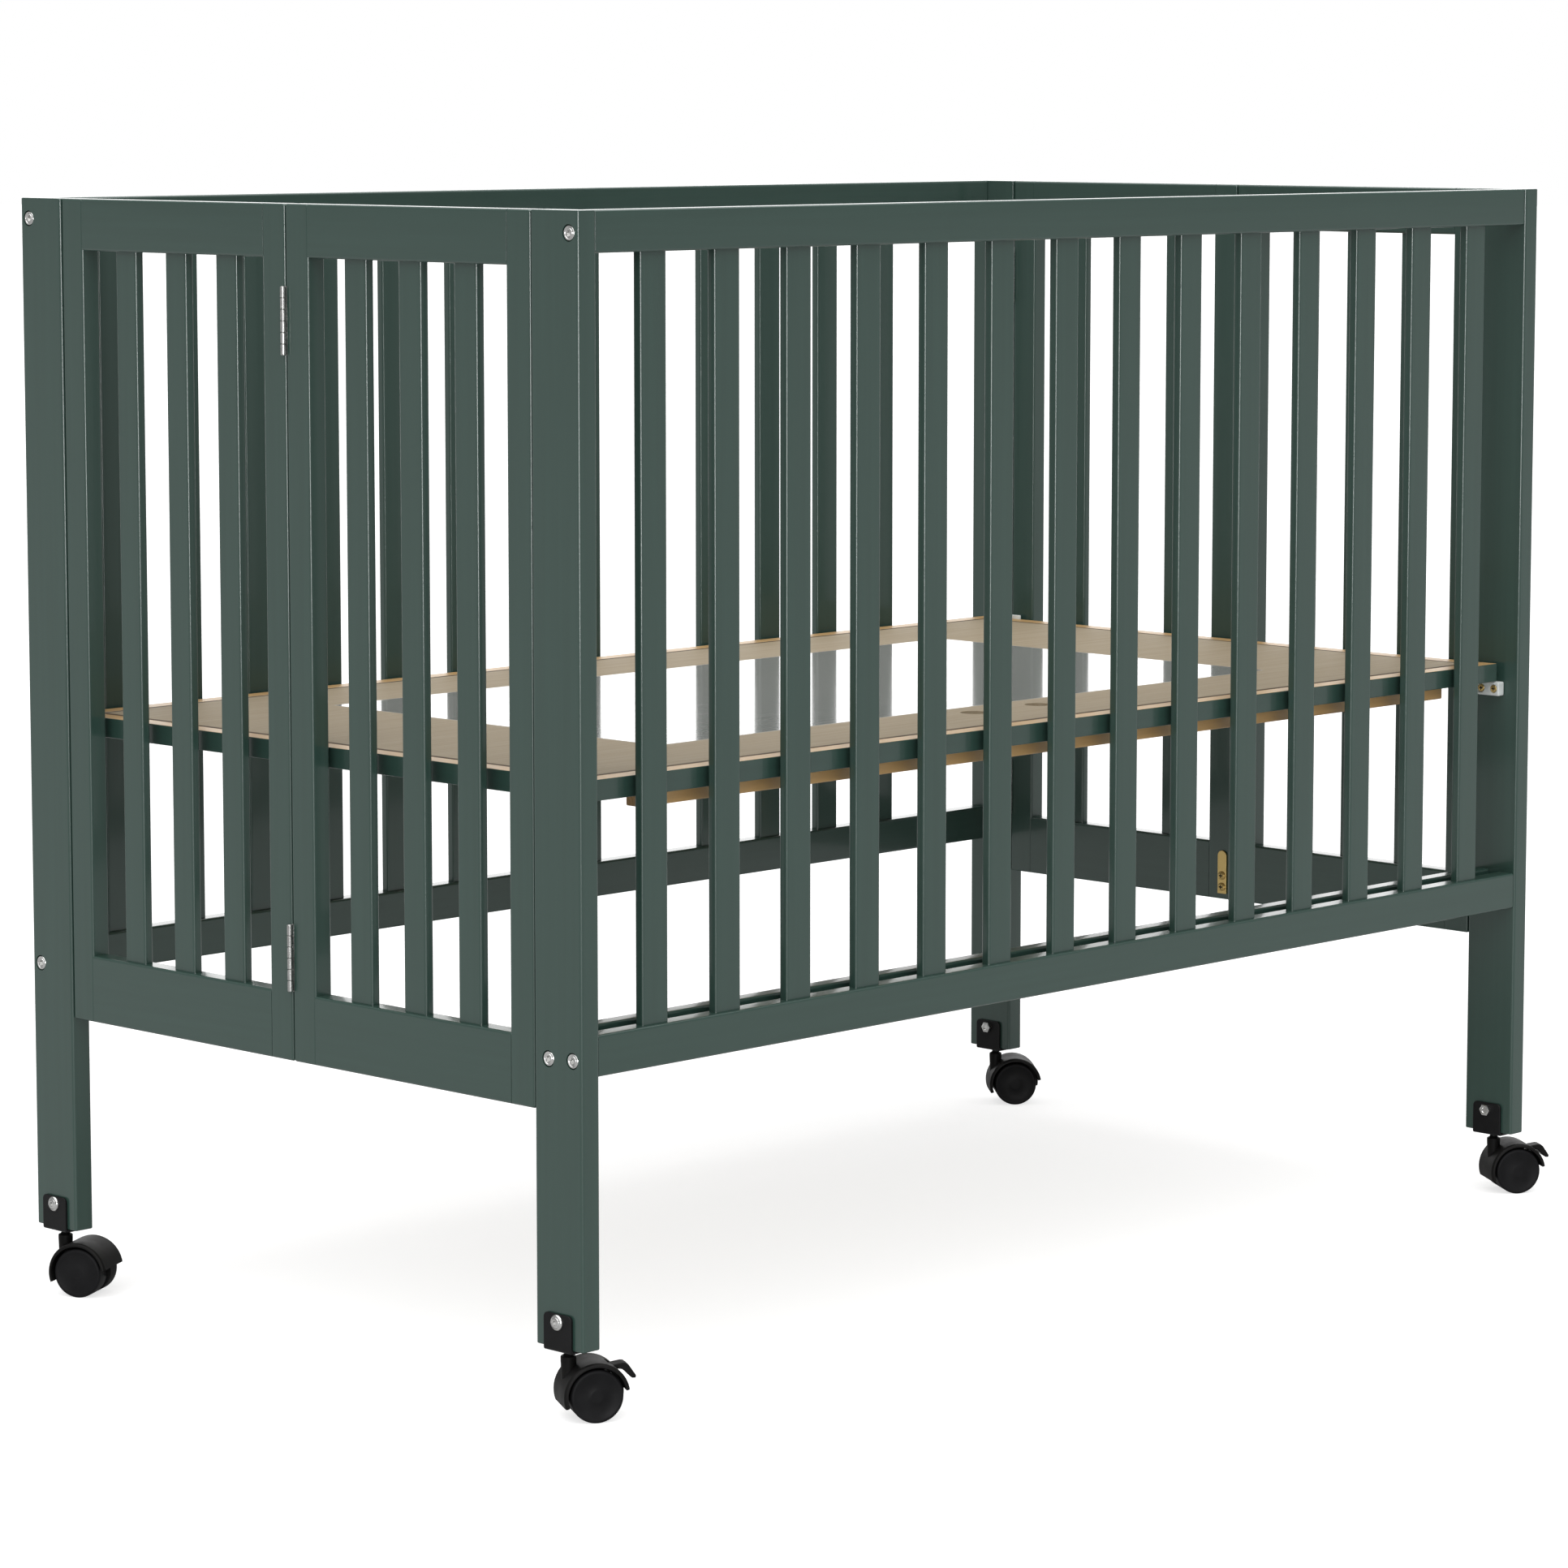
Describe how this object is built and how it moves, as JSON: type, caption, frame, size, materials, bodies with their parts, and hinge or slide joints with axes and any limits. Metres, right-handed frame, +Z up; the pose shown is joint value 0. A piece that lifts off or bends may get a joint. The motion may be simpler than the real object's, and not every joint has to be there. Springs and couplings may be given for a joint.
{
  "type": "playpen",
  "caption": "Folding full-size timber playpen: slatted sides, hinged folding ends, a lift-up mattress platform and swivel casters with foot brakes.",
  "frame": {"origin": "middle of the part's bounding box on the floor, under the crib", "axes": "+Z up, +X along the long slatted sides towards the right end, -Y the front side with the finger holes"},
  "size_m": [1.4308, 0.7876, 1.06],
  "materials": {
    "green_timber": "satin dark green lacquer on solid timber",
    "natural_pine": "clear-sealed natural pine, edges painted green",
    "deck_board": "smooth sealed board with a glossier middle",
    "bright_steel": "nickel-plated steel",
    "brass": "yellow zinc-plated steel",
    "black_steel": "black powder-coated sheet steel with a bright bolt",
    "white_nylon": "white moulded nylon with brass-coloured screws",
    "black_plastic": "black moulded nylon"
  },
  "bodies": {
    "front_side": {"front_side_panel": "green_timber", "front_left_post": "green_timber", "front_left_caster_shoe": "black_steel", "front_left_platform_support": "white_nylon", "left_front_upper_hinge_post_leaf": "bright_steel", "left_front_lower_hinge_post_leaf": "bright_steel", "front_right_post": "green_timber", "front_right_caster_shoe": "black_steel", "front_right_platform_support": "white_nylon", "right_front_upper_hinge_post_leaf": "bright_steel", "right_front_lower_hinge_post_leaf": "bright_steel", "front_inner_rail": "green_timber"},
    "left_front_leaf": {"left_front_end_panel": "green_timber", "left_front_upper_hinge_panel_leaf": "bright_steel", "left_centre_upper_hinge_front_leaf": "bright_steel", "left_front_lower_hinge_panel_leaf": "bright_steel", "left_centre_lower_hinge_front_leaf": "bright_steel"},
    "left_back_leaf": {"left_back_end_panel": "green_timber", "left_back_upper_hinge_panel_leaf": "bright_steel", "left_centre_upper_hinge_back_leaf": "bright_steel", "left_back_lower_hinge_panel_leaf": "bright_steel", "left_centre_lower_hinge_back_leaf": "bright_steel", "left_latch_plate": "brass"},
    "back_side": {"back_side_panel": "green_timber", "back_left_post": "green_timber", "back_left_caster_shoe": "black_steel", "back_left_platform_support": "white_nylon", "left_back_upper_hinge_post_leaf": "bright_steel", "left_back_lower_hinge_post_leaf": "bright_steel", "back_right_post": "green_timber", "back_right_caster_shoe": "black_steel", "back_right_platform_support": "white_nylon", "right_back_upper_hinge_post_leaf": "bright_steel", "right_back_lower_hinge_post_leaf": "bright_steel"},
    "right_front_leaf": {"right_front_end_panel": "green_timber", "right_front_upper_hinge_panel_leaf": "bright_steel", "right_centre_upper_hinge_front_leaf": "bright_steel", "right_front_lower_hinge_panel_leaf": "bright_steel", "right_centre_lower_hinge_front_leaf": "bright_steel"},
    "right_back_leaf": {"right_back_end_panel": "green_timber", "right_back_upper_hinge_panel_leaf": "bright_steel", "right_centre_upper_hinge_back_leaf": "bright_steel", "right_back_lower_hinge_panel_leaf": "bright_steel", "right_centre_lower_hinge_back_leaf": "bright_steel", "right_latch_plate": "brass"},
    "platform": {"left_platform_pivot": "white_nylon", "right_platform_pivot": "white_nylon", "platform_frame": "natural_pine", "platform_deck": "deck_board", "platform_stretcher": "natural_pine"},
    "front_left_caster": {"front_left_caster_housing": "black_plastic"},
    "front_left_wheels": {"front_left_caster_wheels": "black_plastic"},
    "front_left_brake": {"front_left_brake_lever": "black_plastic"},
    "front_right_caster": {"front_right_caster_housing": "black_plastic"},
    "front_right_wheels": {"front_right_caster_wheels": "black_plastic"},
    "front_right_brake": {"front_right_brake_lever": "black_plastic"},
    "back_left_caster": {"back_left_caster_housing": "black_plastic"},
    "back_left_wheels": {"back_left_caster_wheels": "black_plastic"},
    "back_right_caster": {"back_right_caster_housing": "black_plastic"},
    "back_right_wheels": {"back_right_caster_wheels": "black_plastic"}
  },
  "joints": [
    {"name": "left_front_fold", "type": "hinge", "parent": "front_side", "child": "left_front_leaf", "pos_m": [-0.67707, -0.31563, 0.662], "axis": [0, 0, -1], "range_deg": [0, 1.2]},
    {"name": "left_centre_fold", "type": "hinge", "parent": "left_front_leaf", "child": "left_back_leaf", "pos_m": [-0.70357, 0.00877, 0.662], "axis": [0, 0, 1], "range_deg": [0, 2.4]},
    {"name": "back_side_fold", "type": "hinge", "parent": "left_back_leaf", "child": "back_side", "pos_m": [-0.67707, 0.33317, 0.662], "axis": [0, 0, -1], "range_deg": [0, 1.2]},
    {"name": "right_front_fold", "type": "hinge", "parent": "front_side", "child": "right_front_leaf", "pos_m": [0.64693, -0.31563, 0.662], "axis": [0, 0, 1], "range_deg": [0, 1.2]},
    {"name": "right_centre_fold", "type": "hinge", "parent": "right_front_leaf", "child": "right_back_leaf", "pos_m": [0.67343, 0.00877, 0.662], "axis": [0, 0, -1], "range_deg": [0, 2.4]},
    {"name": "platform_lift", "type": "hinge", "parent": "back_side", "child": "platform", "pos_m": [-0.01507, 0.35977, 0.556], "axis": [-1, 0, 0], "range_deg": [0, 90]},
    {"name": "front_left_swivel", "type": "hinge", "parent": "front_side", "child": "front_left_caster", "pos_m": [-0.69082, -0.34623, 0.056], "axis": [0, 0, 1], "continuous": true},
    {"name": "front_left_roll", "type": "hinge", "parent": "front_left_caster", "child": "front_left_wheels", "pos_m": [-0.67267, -0.3568, 0.024], "axis": [0.503, 0.8643, 0], "continuous": true},
    {"name": "front_left_brake", "type": "hinge", "parent": "front_left_caster", "child": "front_left_brake", "pos_m": [-0.65919, -0.36464, 0.0464], "axis": [0.503, 0.8643, 0], "range_deg": [0, 12]},
    {"name": "front_right_swivel", "type": "hinge", "parent": "front_side", "child": "front_right_caster", "pos_m": [0.66068, -0.34623, 0.056], "axis": [0, 0, 1], "continuous": true},
    {"name": "front_right_roll", "type": "hinge", "parent": "front_right_caster", "child": "front_right_wheels", "pos_m": [0.678, -0.3581, 0.024], "axis": [0.565, 0.8251, 0], "continuous": true},
    {"name": "front_right_brake", "type": "hinge", "parent": "front_right_caster", "child": "front_right_brake", "pos_m": [0.69088, -0.36691, 0.0464], "axis": [0.565, 0.8251, 0], "range_deg": [0, 12]},
    {"name": "back_left_swivel", "type": "hinge", "parent": "back_side", "child": "back_left_caster", "pos_m": [-0.69082, 0.36377, 0.056], "axis": [0, 0, 1], "continuous": true},
    {"name": "back_left_roll", "type": "hinge", "parent": "back_left_caster", "child": "back_left_wheels", "pos_m": [-0.68116, 0.34512, 0.024], "axis": [0.8878, 0.4602, 0], "continuous": true},
    {"name": "back_right_swivel", "type": "hinge", "parent": "back_side", "child": "back_right_caster", "pos_m": [0.66068, 0.36377, 0.056], "axis": [0, 0, 1], "continuous": true},
    {"name": "back_right_roll", "type": "hinge", "parent": "back_right_caster", "child": "back_right_wheels", "pos_m": [0.67643, 0.34988, 0.024], "axis": [0.6613, 0.7501, 0], "continuous": true}
  ],
  "couplings": [
    {"joint": "left_centre_fold", "follows": "left_front_fold", "ratio": 2},
    {"joint": "back_side_fold", "follows": "left_front_fold", "ratio": 1},
    {"joint": "right_front_fold", "follows": "left_front_fold", "ratio": 1},
    {"joint": "right_centre_fold", "follows": "left_front_fold", "ratio": 2}
  ]
}
